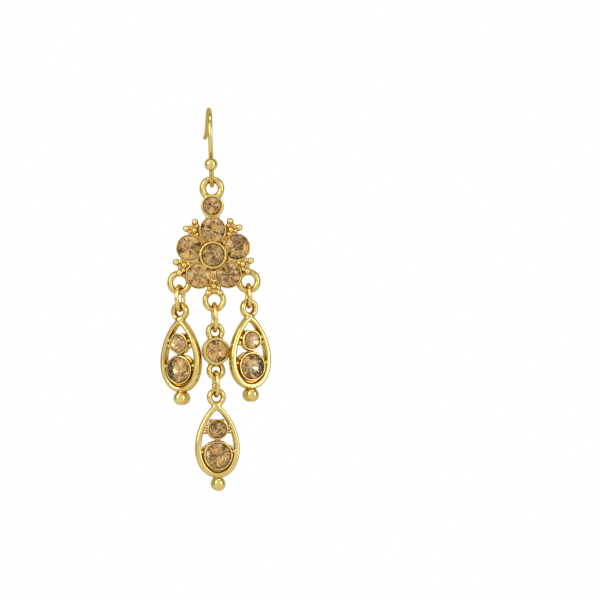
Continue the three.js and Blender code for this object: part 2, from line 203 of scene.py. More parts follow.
def softened(path, rounds):
    """The path with each inner point moved, rounds times, to the mean of itself and its neighbours."""
    for _ in range(rounds):
        path = np.vstack([path[:1], (path[:-2] + path[1:-1] + path[2:]) / 3, path[-1:]])
    return path


def swept(path, radius, sides, side=(1.0, 0.0, 0.0)):
    """A round section of the given radius at each path point, closed by a pole at each end. Point (i, j)
    is path[i] + radius[i] (cos(a_j) u_i + sin(a_j) v_i), with u, v and the tangent square to each other."""
    tangent = np.gradient(path, axis=0)
    tangent /= np.linalg.norm(tangent, axis=1)[:, None]
    u = np.array(side) - tangent * (tangent @ np.array(side))[:, None]
    u /= np.linalg.norm(u, axis=1)[:, None]
    v = np.cross(tangent, u)
    a = np.arange(sides) * 2 * math.pi / sides
    ring = np.cos(a)[None, :, None] * u[:, None] + np.sin(a)[None, :, None] * v[:, None]
    points = (path[:, None] + radius[:, None, None] * ring).reshape(-1, 3)
    i, j = np.meshgrid(np.arange(len(path) - 1), np.arange(sides), indexing="ij")
    k = (j + 1) % sides
    quads = np.stack([i * sides + j, i * sides + k, (i + 1) * sides + k, (i + 1) * sides + j], -1)
    first, last = len(points), len(points) + 1
    points = np.vstack([points, path[:1], path[-1:]])
    around, after = np.arange(sides), (np.arange(sides) + 1) % sides
    base = (len(path) - 1) * sides
    first_cap = np.stack([np.full(sides, first), after, around], 1)
    last_cap = np.stack([np.full(sides, last), base + around, base + after], 1)
    return points, quads.reshape(-1, 4).tolist() + first_cap.tolist() + last_cap.tolist()


limb_foot = BEND * np.array([math.cos(math.pi + LIMB_LEAN), math.sin(math.pi + LIMB_LEAN)])
limb_way = np.array([-math.sin(LIMB_LEAN), math.cos(LIMB_LEAN)])
ball_centre = limb_foot + limb_way * LIMB_LENGTH
crest = np.array([SHANK_TOP[0] + FRONT_ARCH, SHANK_TOP[1] + FRONT_ARCH])
rear_centre = crest - np.array([0, REAR_ARCH])
rear_end = math.pi / 2 - TAIL_ANGLE
tail_start = rear_centre + REAR_ARCH * np.array([math.cos(rear_end), math.sin(rear_end)])
tail_bend = tail_start + TAIL_LENGTH * np.array([math.cos(TAIL_ANGLE), -math.sin(TAIL_ANGLE)])
hook_outline = np.vstack([
    ball_centre + limb_way * HOOK_BALL,
    arc((0, 0), BEND, math.pi + LIMB_LEAN, 2 * math.pi),
    bezier([np.array([BEND, 0]), SHANK_PULL[0], SHANK_PULL[1], SHANK_TOP]),
    arc(SHANK_TOP + np.array([FRONT_ARCH, 0]), FRONT_ARCH, math.pi, math.pi / 2),
    arc(rear_centre, REAR_ARCH, math.pi / 2, rear_end),
    bezier([tail_bend, tail_bend + TAIL_PULL, TAIL_TIP]),
])
hook_outline, hook_run = evenly(hook_outline, HOOK_STEP)
hook_outline = softened(hook_outline, OUTLINE_ROUNDS)
splay = -math.tan(TAIL_SPLAY) * np.maximum(0, hook_outline[:, 0] - crest[0])
tilt_cos, tilt_sin = math.cos(HOOK_TILT), math.sin(HOOK_TILT)
hook_path = softened(np.stack([
    splay,
    swing_y + hook_outline[:, 0] * tilt_cos - hook_outline[:, 1] * tilt_sin,
    swing_z + BEND + hook_outline[:, 0] * tilt_sin + hook_outline[:, 1] * tilt_cos,
], 1), PATH_ROUNDS)
ball_half = np.sqrt(np.maximum(HOOK_BALL ** 2 - (hook_run - HOOK_BALL) ** 2, 0))
to_tip = hook_run[-1] - hook_run
tip_half = np.sqrt(np.maximum(WIRE ** 2 - np.maximum(WIRE - to_tip, 0) ** 2, 0))
ball_part = np.where(hook_run < BALL_END * HOOK_BALL, ball_half, 0)
hook_radius = np.maximum(ball_part, np.minimum(WIRE, tip_half))
hook_radius = np.where(hook_run < HOOK_BALL, ball_half, hook_radius)
hook_points, hook_faces = swept(hook_path, hook_radius, HOOK_SIDES)
ear_hook = finished("ear_wire", hook_points, hook_faces, wire_gold)
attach(ear_hook, "hook")
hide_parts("ear_hook")


# ------------------------------------------------------------------------------------------------
# Cluster casting: one lost-wax brass casting, gold plated. Top ring, small setting, neck posts, five
# petal settings in a pentagon, a raised gallery cup, granule trios in the valleys and three rings.
PETAL_CIRCLE, CLUSTER_DROP = 4.28, 11.97
PETAL_RIMS = (-1.3, -0.72, -0.9, -0.9, -0.72)
PETAL_CUP, PETAL_SEAT = 2.31, 2.12
TOP_SETTING_DROP, TOP_RIM, TOP_CUP, TOP_SEAT = 3.5, -0.86, 1.98, 1.56
CENTRE_RIM, CENTRE_SEAT = -2.7, 1.92
NECK_POST = {"aside": 0.78, "drop": 5.42, "radius": 0.44}
TOP_RING = {"drop": 0.52, "outer": 2.16, "hole": 1.0}
SIDE_RING = {"aside": 5.93, "drop": 16.58, "outer": 2.13, "hole": 1.07}
FOOT_RING = {"drop": 19.78, "outer": 2.04, "hole": 1.05}
LOWER_BACK = 0.65
HEART_RADIUS = 3.6
CAST_DEPTH = 1.56
CAST_GRID = 0.11
SEAT_SLOPE, SEAT_MOUTH, SEAT_EDGE = 0.45, 0.9, 0.05
CUP_EDGE = 0.10
cast_gold = gold_plate("gold_plated_casting", 1.1, 0.20, 0.08)

# One valley's granules: reach from the cluster's middle, degrees to one side, radius and front.
GRANULES = (
    (5.31, 0, 0.52, -1.25), (6.52, 8.4, 0.56, -1.32), (6.52, -8.4, 0.56, -1.32),
    (5.70, 8.2, 0.38, -1.02), (5.70, -8.2, 0.38, -1.02), (4.45, 0, 0.36, -1.0),
)


def merge(a, b, soft):
    """Union of two distances with a fillet: the smaller one, less (soft - |a - b|)^2 / (4 soft)."""
    h = np.maximum(soft - np.abs(a - b), 0)
    return np.minimum(a, b) - h * h / (4 * soft)


def cut(a, b, soft):
    """What is in a and not in b, with a rounded edge."""
    return -merge(-a, b, soft)


def cast_ring(x, y, z, outer, hole, depth):
    """Ring about the Y axis with an oval section: the section's ellipse value, scaled to a length."""
    across, deep = (outer - hole) / 2, depth / 2
    r = np.sqrt(x * x + z * z) - (outer + hole) / 2
    return (np.sqrt((r / across) ** 2 + (y / deep) ** 2) - 1) * min(across, deep)


def granule(x, y, z, radius, front, back):
    """Rod along Y with round ends: distance to its middle line, less its radius."""
    along = y - np.clip(y, front + radius, back - radius)
    return np.sqrt(x * x + z * z + along * along) - radius


def cup(x, y, z, outer, rim, back, dome):
    """Setting: a cylinder from the rim to back, then half an ellipsoid out to dome."""
    r = np.sqrt(x * x + z * z)
    high = dome - back
    behind = np.sqrt((r / outer) ** 2 + (np.maximum(y - back, 0) / high) ** 2) - 1
    body = np.where(y > back, behind * min(outer, high), r - outer)
    return cut(body, y - rim, CUP_EDGE)


def seat(x, y, z, radius, rim, floor):
    """The pocket for a stone: a cylinder open to the front, with a cone at its floor."""
    r = np.sqrt(x * x + z * z)
    return np.maximum(np.maximum(r - radius, y - floor + SEAT_SLOPE * r), rim - SEAT_MOUTH - y)


def plate(outline, y, front, back):
    """Flat plate between two depths: the greater of its outline's distance and its two faces'."""
    return np.maximum(outline, np.maximum(front - y, y - back))


def slab(x, y, z, low_width, high_width, low, high, front, back):
    """Tapering bar along X between two depths: the greatest of its six face distances."""
    half = low_width + (high_width - low_width) * (x - low) / (high - low)
    ends = np.maximum(low - x, x - high)
    return plate(np.maximum(np.abs(z) - half, ends), y, front, back)


def unevenness(x, y, z):
    """Slow swell of a hand-finished casting, 0.02 mm high, from three crossed sine waves, and a coarser
    rippling of its unpolished back, up to 0.05 mm, from two products of bent sines that grow with depth."""
    swell = np.sin(2.1 * x + 1.3 * z) + np.sin(1.7 * y - 2.3 * z + 1) + np.sin(2.9 * x - 1.9 * y + 2)
    coarse = np.sin(4.3 * x + 1.7 * np.sin(1.9 * z)) * np.sin(3.9 * z + 1.9 * np.sin(2.3 * x + 1))
    fine = np.sin(7.1 * x + 2.3 * np.sin(3.1 * z)) * np.sin(6.3 * z + 2.1 * np.sin(2.7 * x))
    return 0.007 * swell + 0.032 * np.clip(y - 0.7, 0, 1) * (coarse + 0.6 * fine)


GALLERY_FRONT, GALLERY_BACK = -2.72, 0.4
GALLERY_DEPTHS = (-2.75, -2.55, -2.2, -1.95, -1.3, -0.9)
GALLERY_RADII = (2.31, 2.32, 2.12, 2.18, 1.9, 1.8)
LOBE_COUNT, LOBE_HEIGHT = 18, 0.04


def gallery_wall(x, y, z):
    """Raised cup: radius follows depth from a stem to a flared rim, with a ring of small lobes."""
    r = np.sqrt(x * x + z * z)
    lobes = LOBE_HEIGHT * np.cos(LOBE_COUNT * np.arctan2(z, x)) * np.clip(-(y + 0.9), 0, 1)
    profile = np.interp(y, GALLERY_DEPTHS, GALLERY_RADII)
    return plate(r - profile - lobes, y, GALLERY_FRONT, GALLERY_BACK)


def petal_place(petal):
    """Middle (x, z) of a petal setting from the cluster's middle: one petal every 72 degrees."""
    way = math.radians(90 + 72 * petal)
    return PETAL_CIRCLE * math.cos(way), PETAL_CIRCLE * math.sin(way)


def ring_from(x, y, z, ring):
    """One of the casting's rings, by its row of sizes."""
    return cast_ring(x, y, z + ring["drop"], ring["outer"], ring["hole"], CAST_DEPTH)


def cluster_metal(x, y, z):
    """Distance to the cluster casting's surface. z is 0 on the swing axis and falls downwards."""
    d = ring_from(x, y, z, TOP_RING)
    d = merge(d, cup(x, y, z + TOP_SETTING_DROP, TOP_CUP, TOP_RIM, back=1.1, dome=2.4), soft=0.12)
    for side in (-1, 1):
        post_x = x - NECK_POST["aside"] * side
        post = granule(post_x, y, z + NECK_POST["drop"], NECK_POST["radius"], front=-0.95, back=1.3)
        d = merge(d, post, soft=0.16)
    centre = z + CLUSTER_DROP
    for petal, rim in enumerate(PETAL_RIMS):
        at_x, at_z = petal_place(petal)
        petal_cup = cup(x - at_x, y, centre - at_z, PETAL_CUP, rim, back=1.42, dome=2.75)
        d = merge(d, petal_cup, soft=0.10)
    heart = plate(np.sqrt(x * x + centre * centre) - HEART_RADIUS, y, front=-0.25, back=1.2)
    d = merge(d, heart, soft=0.15)
    for valley in range(5):
        way = math.radians(54 + 72 * valley)
        u = x * math.cos(way) + centre * math.sin(way)
        v = centre * math.cos(way) - x * math.sin(way)
        web = slab(u, y, v, low_width=0.55, high_width=1.22, low=2.6, high=6.5, front=-0.62, back=1.15)
        d = merge(d, web, soft=0.22)
        for reach_out, swing_out, radius, front in GRANULES:
            at_u = reach_out * math.cos(math.radians(swing_out))
            at_v = reach_out * math.sin(math.radians(swing_out))
            d = merge(d, granule(u - at_u, y, v - at_v, radius, front, back=1.6), soft=0.12)
    d = merge(d, gallery_wall(x, y, centre), soft=0.10)
    for side in (-1, 1):
        side_ring = ring_from(x - SIDE_RING["aside"] * side, y - LOWER_BACK, z, SIDE_RING)
        d = merge(d, side_ring, soft=0.16)
    d = merge(d, ring_from(x, y - LOWER_BACK, z, FOOT_RING), soft=0.14)
    d = cut(d, seat(x, y, z + TOP_SETTING_DROP, TOP_SEAT, TOP_RIM, floor=0.9), SEAT_EDGE)
    d = cut(d, seat(x, y, centre, CENTRE_SEAT, CENTRE_RIM, floor=-0.9), SEAT_EDGE)
    for petal, rim in enumerate(PETAL_RIMS):
        at_x, at_z = petal_place(petal)
        d = cut(d, seat(x - at_x, y, centre - at_z, PETAL_SEAT, rim, floor=rim + 2.0), SEAT_EDGE)
    return d + unevenness(x, y, z)


# Moving points onto a surface: how far off its slope is measured and how far one move may go, as
# shares of the grid step, the least slope squared that is trusted, and the number of moves.
SLOPE_REACH, MOST_MOVE, LEAST_SLOPE, MOVES = 0.25, 0.5, 0.3, 2


def skin(metal, low, high, step):
    """Surface where a distance function is zero. Each grid cell that it crosses gets one point, the
    mean of its edge crossings, moved onto the surface along the slope; each crossed edge gets a face."""
    axes = [np.arange(a, b + step, step) for a, b in zip(low, high)]
    x, y, z = axes[0][:, None, None], axes[1][None, :, None], axes[2][None, None, :]
    value = np.broadcast_to(metal(x, y, z), [len(a) for a in axes]).astype(np.float32)
    inside = value < 0
    shape = np.array(value.shape) - 1
    corner = [(i, j, k) for i in (0, 1) for j in (0, 1) for k in (0, 1)]
    part = {c: inside[c[0]:c[0] + shape[0], c[1]:c[1] + shape[1], c[2]:c[2] + shape[2]] for c in corner}
    count = sum(part[c].astype(np.int8) for c in corner)
    cells = np.argwhere((count > 0) & (count < 8))
    total, hits = np.zeros((len(cells), 3)), np.zeros(len(cells))
    for a in corner:
        for axis in range(3):
            if a[axis] == 1:
                continue
            b = tuple(a[k] + (k == axis) for k in range(3))
            va = value[tuple((cells + a).T)]
            vb = value[tuple((cells + b).T)]
            crossed = (va < 0) != (vb < 0)
            share = np.where(crossed, va / np.where(crossed, va - vb, 1), 0)
            spot = np.array(a, float) + share[:, None] * (np.arange(3) == axis)
            total += np.where(crossed[:, None], spot, 0)
            hits += crossed
    points = np.array([a[0] for a in axes]) + (cells + total / hits[:, None]) * step
    nudge = SLOPE_REACH * step
    for _ in range(MOVES):
        here = metal(*points.T)
        aside = [metal(*(points + nudge * (np.arange(3) == k)).T) for k in range(3)]
        slope = (np.stack(aside, 1) - here[:, None]) / nudge
        steep = np.maximum((slope ** 2).sum(1), LEAST_SLOPE)
        move = -(here / steep)[:, None] * slope
        far = np.maximum(np.linalg.norm(move, axis=1) / (MOST_MOVE * step), 1)
        points = points + move / far[:, None]
    number = np.full(shape, -1, np.int64)
    number[tuple(cells.T)] = np.arange(len(cells))
    faces = []
    for axis in range(3):
        b, c = (axis + 1) % 3, (axis + 2) % 3
        ahead = np.roll(inside, -1, axis)
        edges = np.argwhere(inside != ahead)
        edges = edges[(edges[:, axis] < shape[axis]) & (edges[:, b] > 0) & (edges[:, c] > 0)
                      & (edges[:, b] < shape[b]) & (edges[:, c] < shape[c])]
        one_b, one_c = np.arange(3) == b, np.arange(3) == c
        quad = np.stack([number[tuple((edges - i * one_b - j * one_c).T)]
                         for i, j in ((1, 1), (0, 1), (0, 0), (1, 0))], 1)
        leaving = inside[tuple(edges.T)]
        faces.append(np.where(leaving[:, None], quad, quad[:, ::-1]))
    return points, np.vstack(faces).tolist()


cluster_points, cluster_faces = skin(cluster_metal, (-8.3, -2.95, -22.0), (8.3, 2.95, 1.8), CAST_GRID)
cluster_points += (0, swing_y, swing_z)
cluster = finished("flower_casting", cluster_points, cluster_faces, cast_gold)
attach(cluster, "pendant")
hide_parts("cluster_casting")


# ------------------------------------------------------------------------------------------------
# Jump rings: oval links cut from a coil of round wire, opened sideways, hooked in and closed, so
# each has a hairline split between two slightly bevelled ends.
LINK_WIRE = 0.37
LINK_WIDTH = 4.06
LINK_SPLIT = math.radians(2.5)
LINK_BEVEL = 0.8
LINK_POINTS, LINK_SIDES = 120, 20

# Each link's name, height, turn about the vertical, place of its split (degrees) and sideways gap.
LINKS = (
    ("left", 4.82, -17.0, 24, 0.07),
    ("right", 4.5, 9.0, 12, 0.0),
    ("upper", 5.3, 9.0, -10, 0.0),
    ("lower", 4.8, 13.0, 6, 0.0),
)


def jump_ring(centre, height, turn, split_at, twist):
    """Oval path in a vertical plane turned about Z, left open by a hair at split_at degrees."""
    run = np.linspace(LINK_SPLIT / 2, 2 * math.pi - LINK_SPLIT / 2, LINK_POINTS)
    t = math.radians(split_at) + run
    deep = (LINK_WIDTH / 2 - LINK_WIRE) * np.cos(t)
    up = (height / 2 - LINK_WIRE) * np.sin(t)
    aside = twist * np.linspace(-1, 1, len(t))
    path = np.stack([
        aside * math.cos(turn) - deep * math.sin(turn),
        aside * math.sin(turn) + deep * math.cos(turn),
        up,
    ], 1) + centre
    thickness = np.full(LINK_POINTS, LINK_WIRE)
    thickness[[0, -1]] *= LINK_BEVEL
    return swept(path, thickness, LINK_SIDES, side=(math.cos(turn), math.sin(turn), 0.0))


for side, height, turn, split_at, twist in LINKS:
    low, high = (np.array(corner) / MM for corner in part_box(f"jump_ring_{side}"))
    middle = (low + high) / 2
    link_points, link_faces = jump_ring(middle, height, math.radians(turn), split_at, twist)
    link = finished(f"link_{side}", link_points, link_faces, wire_gold, crease=math.radians(50))
    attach(link, "pendant")
    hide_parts(f"jump_ring_{side}")


# ------------------------------------------------------------------------------------------------
# Connector: a small casting with a round setting between two loops, turned a little to one side as
# it hangs. It is measured down from its upper loop.
LOOP_OUTER, LOOP_HOLE, LOOP_DEPTH = 1.66, 0.72, 1.4
CONNECTOR_TURN = math.radians(12)
CONNECTOR_AT, CONNECTOR_FOOT = -3.3, -6.63
CONNECTOR_RIM, CONNECTOR_CUP, CONNECTOR_SEAT = -1.15, 2.34, 1.88
CONNECTOR_GRID = 0.07
link_y = swing_y + LOWER_BACK


def connector_metal(x, y, z):
    """Distance to the connector's surface: two loops and a cup, filleted, with the seat cut."""
    d = cup(x, y, z - CONNECTOR_AT, CONNECTOR_CUP, CONNECTOR_RIM, back=0.75, dome=1.75)
    d = merge(d, cast_ring(x, y, z, LOOP_OUTER, LOOP_HOLE, LOOP_DEPTH), soft=0.55)
    d = merge(d, cast_ring(x, y, z - CONNECTOR_FOOT, LOOP_OUTER, LOOP_HOLE, LOOP_DEPTH), soft=0.55)
    d = cut(d, seat(x, y, z - CONNECTOR_AT, CONNECTOR_SEAT, CONNECTOR_RIM, floor=0.6), SEAT_EDGE)
    return d + unevenness(x, y, z)


def hung(points, loop, turn):
    """Points of a piece drawn about its loop, turned about Z and moved to the loop's place."""
    c, s = math.cos(turn), math.sin(turn)
    x, y, z = points.T
    return np.stack([x * c - y * s, x * s + y * c, z], 1) + loop


def loop_of(node):
    """Middle of the loop that a casting hangs from: one loop radius under the top of its CAD box."""
    low, high = (np.array(corner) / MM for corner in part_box(node))
    return np.array([(low[0] + high[0]) / 2, link_y, high[2] - LOOP_OUTER])


connector_loop = loop_of("connector_casting")
connector_points, connector_faces = skin(
    connector_metal, (-2.7, -1.5, -8.5), (2.7, 2.1, 1.9), CONNECTOR_GRID)
connector_points = hung(connector_points, connector_loop, CONNECTOR_TURN)
connector = finished("connector", connector_points, connector_faces, cast_gold)
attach(connector, "pendant")
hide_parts("connector_casting")


# ------------------------------------------------------------------------------------------------
# Teardrop drops: three castings from one model. A loop, an open teardrop frame, a small and a large
# setting inside it tied on by granules, a sunk floor round the large one, and a ball at the tip.
FRAME_PEAK, FRAME_HEIGHT, FRAME_HALF = -1.15, 12.76, 3.84
FRAME_DEPTH, FRAME_EDGE = 1.65, 0.40
FRAME_WALL, PEAK_WALL, FOOT_WALL = 1.0, 1.1, 1.0
SMALL_AT, SMALL_RIM, SMALL_CUP, SMALL_SEAT = -5.52, -1.0, 1.8, 1.52
LARGE_AT, LARGE_RIM, LARGE_CUP, LARGE_SEAT = -10.04, -1.05, 2.47, 2.2
SUNK_FLOOR = {"drop": 10.64, "radius": 3.2, "inset": 0.3}
TIP_BALL = {"drop": 14.9, "radius": 1.2, "half_depth": 1.69}
BRIDGE_DROP, BRIDGE_RADIUS = 1.9, 0.42
DROP_GRID = 0.08
DROP_TURNS = {"left": -29.0, "right": 28.0, "bottom": 9.0}

# The granules on each side that tie a setting to the frame: the setting's height, then reach from its
# middle, degrees above the level and radius.
DROP_TIES = (
    (SMALL_AT, 2.12, -11, 0.42), (SMALL_AT, 1.98, 14, 0.34), (SMALL_AT, 1.75, 56, 0.30),
    (LARGE_AT, 2.75, 14, 0.34), (LARGE_AT, 2.72, 32, 0.28),
)


# The greatest value of sin(t) sqrt(sin(t/2)), by which the outline's half width is scaled.
FULLEST = 0.8624


def teardrop(half, height, peak, count=160):
    """Outline x = a sin(t) sqrt(sin(t/2)), z = b cos(t), pointed at the top and fullest low down."""
    t = np.linspace(0, 2 * math.pi, count, endpoint=False)
    x = half / FULLEST * np.sin(t) * np.sqrt(np.abs(np.sin(t / 2)))
    return np.stack([x, peak - height / 2 * (1 - np.cos(t))], 1)


def from_outline(x, z, outline):
    """Signed distance to a closed outline: to its nearest edge, and negative inside, by crossings."""
    x, z = np.broadcast_arrays(x, z)
    nearest, within = np.full(x.shape, 1e9), np.zeros(x.shape, bool)
    for (ax, az), (bx, bz) in zip(outline, np.roll(outline, -1, 0)):
        ex, ez = bx - ax, bz - az
        t = np.clip(((x - ax) * ex + (z - az) * ez) / (ex * ex + ez * ez), 0, 1)
        nearest = np.minimum(nearest, (x - ax - t * ex) ** 2 + (z - az - t * ez) ** 2)
        if ez != 0:
            within ^= ((z >= az) != (z >= bz)) & (x < ax + (z - az) / ez * ex)
    return np.where(within, -1, 1) * np.sqrt(nearest)


outer_drop = teardrop(FRAME_HALF, FRAME_HEIGHT, FRAME_PEAK)
inner_drop = teardrop(
    FRAME_HALF - FRAME_WALL, FRAME_HEIGHT - PEAK_WALL - FOOT_WALL, FRAME_PEAK - PEAK_WALL)


def drop_metal(x, y, z):
    """Distance to a teardrop casting's surface, drawn about its loop."""
    to_outer = from_outline(x, z, outer_drop)
    band = np.maximum(to_outer, -from_outline(x, z, inner_drop))
    qx, qy = band + FRAME_EDGE, np.abs(y) - FRAME_DEPTH / 2 + FRAME_EDGE
    past = np.sqrt(np.maximum(qx, 0) ** 2 + np.maximum(qy, 0) ** 2)
    d = past + np.minimum(np.maximum(qx, qy), 0) - FRAME_EDGE
    r = np.sqrt(x * x + (z + SUNK_FLOOR["drop"]) ** 2)
    sunk = np.maximum(r - SUNK_FLOOR["radius"], to_outer + SUNK_FLOOR["inset"])
    d = merge(d, plate(sunk, y, front=-0.3, back=0.6), soft=0.12)
    d = merge(d, cast_ring(x, y, z, LOOP_OUTER, LOOP_HOLE, LOOP_DEPTH), soft=0.45)
    d = merge(d, cup(x, y, z - SMALL_AT, SMALL_CUP, SMALL_RIM, back=0.3, dome=1.05), soft=0.10)
    d = merge(d, cup(x, y, z - LARGE_AT, LARGE_CUP, LARGE_RIM, back=0.55, dome=1.68), soft=0.10)
    bridge = granule(x, y, z - SMALL_AT + BRIDGE_DROP, BRIDGE_RADIUS, front=-0.7, back=0.5)
    d = merge(d, bridge, soft=0.14)
    for side in (-1, 1):
        for centre, reach_out, angle, radius in DROP_TIES:
            at_x = side * reach_out * math.cos(math.radians(angle))
            at_z = centre + reach_out * math.sin(math.radians(angle))
            tie = granule(x - at_x, y, z - at_z, radius, front=-0.75, back=0.6)
            d = merge(d, tie, soft=0.12)
    ball_half = TIP_BALL["half_depth"]
    ball = granule(x, y, z + TIP_BALL["drop"], TIP_BALL["radius"], front=-ball_half, back=ball_half)
    d = merge(d, ball, soft=0.14)
    d = cut(d, seat(x, y, z - SMALL_AT, SMALL_SEAT, SMALL_RIM, floor=0.5), SEAT_EDGE)
    d = cut(d, seat(x, y, z - LARGE_AT, LARGE_SEAT, LARGE_RIM, floor=0.9), SEAT_EDGE)
    return d + unevenness(x, y, z)


drop_points, drop_faces = skin(drop_metal, (-4.1, -1.95, -16.4), (4.1, 1.95, 1.9), DROP_GRID)
drop_loops = {}
for side, turn in DROP_TURNS.items():
    drop_loops[side] = loop_of(f"drop_casting_{side}")
    placed = hung(drop_points, drop_loops[side], math.radians(turn))
    drop = finished(f"teardrop_{side}", placed, drop_faces, cast_gold)
    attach(drop, "pendant")
    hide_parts(f"drop_casting_{side}")


# ------------------------------------------------------------------------------------------------
# Stones: machine-cut champagne glass chatons with a foiled back, dropped into their seats and held
# by the burnished rims. Each is a table, two rows of crown facets, a girdle and a pointed pavilion.
GLASS_TINT = (0.96, 0.84, 0.62, 1)
FOIL_TINT = (0.95, 0.79, 0.52, 1)
# The foil's dark colour is painted reflection, standing in for facets that mirror dark surroundings.
FOIL_PAINTED_DARK = (0.14, 0.07, 0.022, 1)

glass = bpy.data.materials.new("champagne_glass")
glass.use_nodes = True
glass_shader = glass.node_tree.nodes["Principled BSDF"]
glass_shader.inputs["Base Color"].default_value = GLASS_TINT
glass_shader.inputs["Transmission Weight"].default_value = 1.0
glass_shader.inputs["IOR"].default_value = 1.52
glass_shader.inputs["Roughness"].default_value = 0.01

foil = bpy.data.materials.new("champagne_foil")
foil.use_nodes = True
foil_nodes, foil_links = foil.node_tree.nodes, foil.node_tree.links
foil_shader = foil_nodes["Principled BSDF"]
foil_shader.inputs["Metallic"].default_value = 1.0
foil_shader.inputs["Roughness"].default_value = 0.14
# Painted reflection: a random value per foil facet plus fine noise sets each facet from dark brown to tan.
foil_reflection_facet = foil_nodes.new("ShaderNodeAttribute")
foil_reflection_facet.attribute_name = "facet_painted_reflection"
foil_place = foil_nodes.new("ShaderNodeTexCoord")
foil_reflection_noise = foil_nodes.new("ShaderNodeTexNoise")
foil_reflection_noise.inputs["Scale"].default_value = 1500.0
foil_reflection_noise.inputs["Detail"].default_value = 3.0
foil_links.new(foil_place.outputs["Object"], foil_reflection_noise.inputs["Vector"])
foil_reflection_sum = foil_nodes.new("ShaderNodeMath")
foil_reflection_sum.operation = "ADD"
foil_links.new(foil_reflection_facet.outputs["Fac"], foil_reflection_sum.inputs[0])
foil_links.new(foil_reflection_noise.outputs["Fac"], foil_reflection_sum.inputs[1])
foil_painted_reflection = foil_nodes.new("ShaderNodeValToRGB")
foil_painted_reflection.color_ramp.elements[0].position = 0.50
foil_painted_reflection.color_ramp.elements[0].color = FOIL_PAINTED_DARK
foil_painted_reflection.color_ramp.elements[1].position = 1.0
foil_painted_reflection.color_ramp.elements[1].color = FOIL_TINT
foil_links.new(foil_reflection_sum.outputs[0], foil_painted_reflection.inputs[0])
foil_links.new(foil_painted_reflection.outputs[0], foil_shader.inputs["Base Color"])


def ring_of(count, radius, depth, start=0.0):
    """Points evenly round the Y axis at one radius and depth."""
    a = np.arange(count) * 2 * math.pi / count + start
    return np.stack([radius * np.cos(a), np.full(count, depth), radius * np.sin(a)], 1)


# Hull triangles that lean less than this from one another are one facet.
SAME_FACET = math.radians(0.6)


def hull_of(name, points, material):
    """The closed many-faced solid round a set of points, each flat facet one face."""
    shell = bmesh.new()
    corners = [shell.verts.new(p) for p in points * MM]
    result = bmesh.ops.convex_hull(shell, input=corners)
    loose = [v for v in result["geom_interior"] if isinstance(v, bmesh.types.BMVert)]
    bmesh.ops.delete(shell, geom=loose, context="VERTS")
    bmesh.ops.dissolve_limit(shell, angle_limit=SAME_FACET, verts=shell.verts, edges=shell.edges)
    bmesh.ops.recalc_face_normals(shell, faces=shell.faces)
    mesh = bpy.data.meshes.new(name)
    shell.to_mesh(mesh)
    shell.free()
    mesh.materials.append(material)
    piece = bpy.data.objects.new(name, mesh)
    bpy.context.scene.collection.objects.link(piece)
    return piece


# The cut: sixteen facets round. Shares of the stone's radius, the share of the crown's height at
# which its two rows of facets meet, and the girdle's height.
FACETS = 16
FACET = 2 * math.pi / FACETS
TABLE, STAR_RADIUS, PAVILION = 0.52, 0.80, 0.80
STAR_HEIGHT = 0.60
GIRDLE = 0.16

# The lining: shares of the stone's radius, then its depths behind the rim and its thickness.
LINING_EDGE, LINING_MIDDLE = 0.985, 0.48
LINING_SUNK, LINING_TIP, LINING_THICK = 0.11, 0.08, 0.03

# The lining's faces: from the girdle a ring of 32 zigzag facets, then sixteen wedges to the point, the
# same again behind, and a strip joining the two edges.
BEHIND = 2 * FACETS + 1
wedges = [(n, (n + 1) % FACETS, FACETS + n) for n in range(FACETS)]
wedges += [(FACETS + n, (n + 1) % FACETS, FACETS + (n + 1) % FACETS) for n in range(FACETS)]
wedges += [(FACETS + n, FACETS + (n + 1) % FACETS, 2 * FACETS) for n in range(FACETS)]
LINING_FACES = wedges + [tuple(BEHIND + n for n in face[::-1]) for face in wedges]
LINING_FACES += [((n + 1) % FACETS, n, n + BEHIND, (n + 1) % FACETS + BEHIND) for n in range(FACETS)]


def scattered(count, start):
    """Values from 0 to 1 in no visible order: the fraction left of 4375.8 |sin(12.99 n + start)|."""
    return np.modf(np.abs(np.sin(np.arange(count) * 12.99 + start)) * 4375.8)[0]


def chaton(name, node, radius, rim, crown, place, turn, spin):
    """Crown, girdle and pavilion as rings of points about the stone's axis, joined by their hull, and
    the foil as a thin many-sided cup that lines the pavilion from inside the glass."""
    points = np.vstack([
        ring_of(FACETS // 2, radius * TABLE, rim - crown, FACET + spin),
        ring_of(FACETS // 2, radius * STAR_RADIUS, rim - crown * STAR_HEIGHT, spin),
        ring_of(FACETS, radius, rim, FACET / 2 + spin),
        ring_of(FACETS, radius, rim + GIRDLE, FACET / 2 + spin),
        ring_of(1, 0, rim + GIRDLE + radius * PAVILION),
    ])
    body = hull_of(name, hung(points, place, turn), glass)
    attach(body, "pendant")
    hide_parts(node)
    lining = np.vstack([
        ring_of(FACETS, radius * LINING_EDGE, rim + LINING_SUNK, FACET / 2 + spin),
        ring_of(FACETS, radius * LINING_MIDDLE, rim + LINING_SUNK + radius * PAVILION / 2, FACET + spin),
        ring_of(1, 0, rim + LINING_TIP + radius * PAVILION),
    ])
    lining = hung(np.vstack([lining, lining + (0, LINING_THICK, 0)]), place, turn)
    coat = finished(name + "_foil", lining, LINING_FACES, foil, smooth=False)
    # Painted reflection: each foil facet gets a random dark-to-tan value.
    painted_reflections = coat.data.attributes.new("facet_painted_reflection", "FLOAT", "FACE")
    painted_reflections.data.foreach_set("value", scattered(len(LINING_FACES), 40 * spin + 9 * radius + place[0]))
    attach(coat, "pendant")


TOP_STONE, PETAL_STONE, CENTRE_STONE = 1.5, 2.08, 1.86
CONNECTOR_STONE, SMALL_STONE, LARGE_STONE = 1.82, 1.46, 2.14
CROWN, TOP_CROWN, CENTRE_CROWN = 0.6, 0.62, 0.9
CONNECTOR_SPIN, DROP_SPIN = 0.3, 0.2

